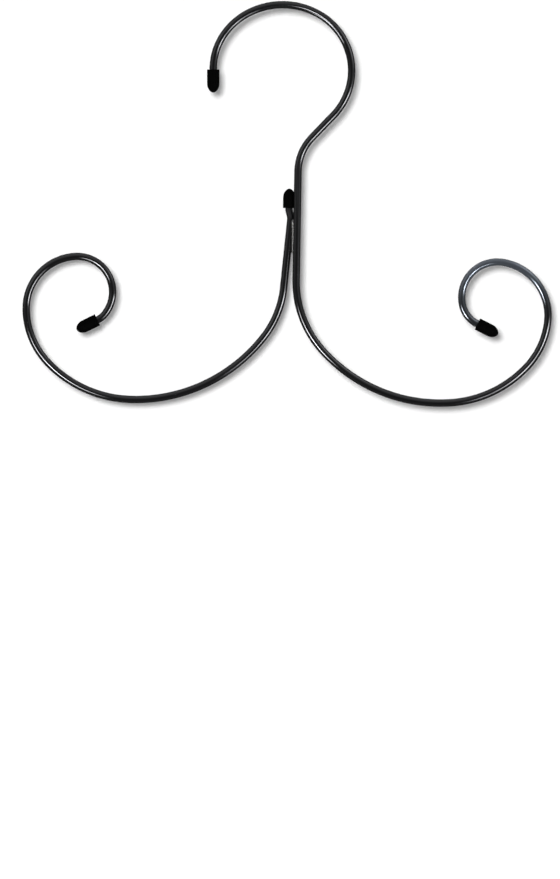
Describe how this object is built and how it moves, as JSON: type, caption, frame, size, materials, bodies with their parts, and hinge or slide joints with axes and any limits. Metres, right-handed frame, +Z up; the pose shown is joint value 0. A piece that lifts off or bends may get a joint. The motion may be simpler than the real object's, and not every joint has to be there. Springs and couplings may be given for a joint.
{
  "type": "scroll wire hanger",
  "caption": "Flat wire hanger for a life jacket: a rounded top hook, a straight neck and a broad arm on each side that curls up and inwards into a scroll, with soft tips on the wire ends.",
  "frame": {"origin": "the highest point of the hook's inner side, where the hanger rests on a rail", "axes": "+Z up as it hangs, +X along the hanger's width towards the scroll of the wire that carries the hook, +Y out of its flat back"},
  "size_m": [0.2912, 0.0104, 0.2233],
  "materials": {
    "wire": "gloss black over round steel wire",
    "weld": "black finish over a rippled weld bead",
    "tip": "matte black soft vinyl"
  },
  "bodies": {
    "hanger": {"hook_and_right_arm_wire": "wire", "left_arm_wire": "wire", "weld_front": "weld", "weld_rear": "weld"},
    "hook_tip": {"hook_tip": "tip"},
    "right_scroll_tip": {"right_scroll_tip": "tip"},
    "left_scroll_tip": {"left_scroll_tip": "tip"},
    "tail_tip": {"tail_tip": "tip"}
  },
  "joints": [
    {"name": "hook_tip_pull", "type": "slide", "parent": "hanger", "child": "hook_tip", "axis": [0, 0, -1], "range_m": [0, 0.013]},
    {"name": "right_scroll_tip_pull", "type": "slide", "parent": "hanger", "child": "right_scroll_tip", "axis": [0.891, 0, -0.454], "range_m": [0, 0.013]},
    {"name": "left_scroll_tip_pull", "type": "slide", "parent": "hanger", "child": "left_scroll_tip", "axis": [-0.8988, 0, -0.4384], "range_m": [0, 0.013]},
    {"name": "tail_tip_pull", "type": "slide", "parent": "hanger", "child": "tail_tip", "axis": [0.0175, 0, 0.9998], "range_m": [0, 0.011]}
  ]
}
